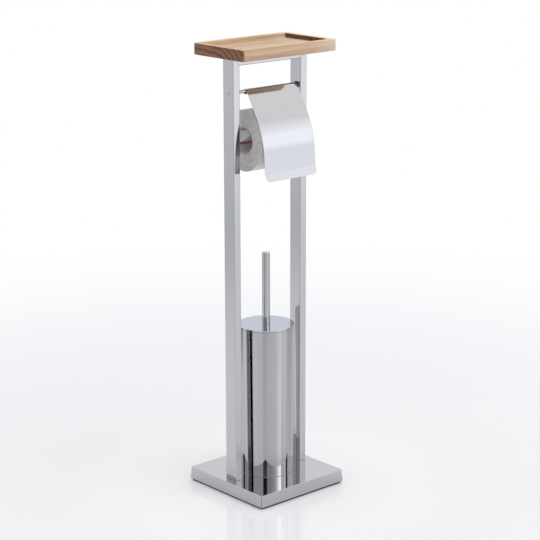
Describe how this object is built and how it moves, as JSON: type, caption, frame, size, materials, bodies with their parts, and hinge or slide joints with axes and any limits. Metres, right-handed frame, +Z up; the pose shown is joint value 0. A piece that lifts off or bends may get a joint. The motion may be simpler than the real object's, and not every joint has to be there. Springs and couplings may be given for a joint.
{
  "type": "freestanding toilet roll holder",
  "caption": "Freestanding toilet roll holder with a wooden tray, a hinged metal cover over the roll, a sprung spindle and a brush in a canister on a weighted base.",
  "frame": {"origin": "on the floor under the centre of the square base", "axes": "+Z up; the two posts stand at -X and +X; the cover over the roll faces -Y, so +Y points to the back"},
  "size_m": [0.221, 0.203, 0.8274],
  "materials": {
    "chrome_base": "polished",
    "chrome_frame": "polished",
    "chrome_cover": "polished",
    "chrome_canister": "polished",
    "chrome_brush": "polished",
    "chrome_spindle": "polished",
    "ballast": "painted dark grey",
    "pad": "matte",
    "steel": "zinc plated",
    "wood": "satin lacquer",
    "washer": "matte",
    "paper": "soft matte",
    "core": "matte",
    "liner": "satin",
    "brush": "satin"
  },
  "bodies": {
    "frame": {"base_cover": "chrome_base", "ballast_plate": "ballast", "base_pad": "pad", "post_bolts": "steel", "left_foot_insert": "steel", "right_foot_insert": "steel", "left_post": "chrome_frame", "right_post": "chrome_frame", "top_bar": "chrome_frame", "tray": "wood", "tray_screws": "steel", "hinge_rod": "chrome_frame", "rod_screws": "steel", "rod_washers": "washer", "spindle_barrel": "chrome_spindle", "spindle_spring": "steel", "canister_shell": "chrome_canister", "canister_screw": "steel", "canister_nut": "steel", "canister_liner": "liner"},
    "cover": {"cover": "chrome_cover"},
    "roll": {"paper_roll": "paper", "roll_core": "core"},
    "plunger": {"spindle_plunger": "chrome_spindle"},
    "brush": {"brush_handle": "chrome_brush", "brush_lid": "chrome_brush", "brush_stem": "steel", "brush_hub": "brush", "brush_tufts": "brush"}
  },
  "joints": [
    {"name": "cover_swing", "type": "hinge", "parent": "frame", "child": "cover", "pos_m": [0, -0.0025, 0.7428], "axis": [-1, 0, 0], "range_deg": [0, 100]},
    {"name": "roll_spin", "type": "hinge", "parent": "frame", "child": "roll", "pos_m": [0, 0.008, 0.65344], "axis": [1, 0, 0], "continuous": true},
    {"name": "spindle_compress", "type": "slide", "parent": "frame", "child": "plunger", "axis": [-1, 0, 0], "range_m": [0, 0.0075], "stiffness_N_per_m": 1500, "springref_m": -0.004, "deforming": ["spindle_spring"]},
    {"name": "brush_lift", "type": "slide", "parent": "frame", "child": "brush", "axis": [0, 0, 1], "range_m": [0, 0.15]}
  ]
}
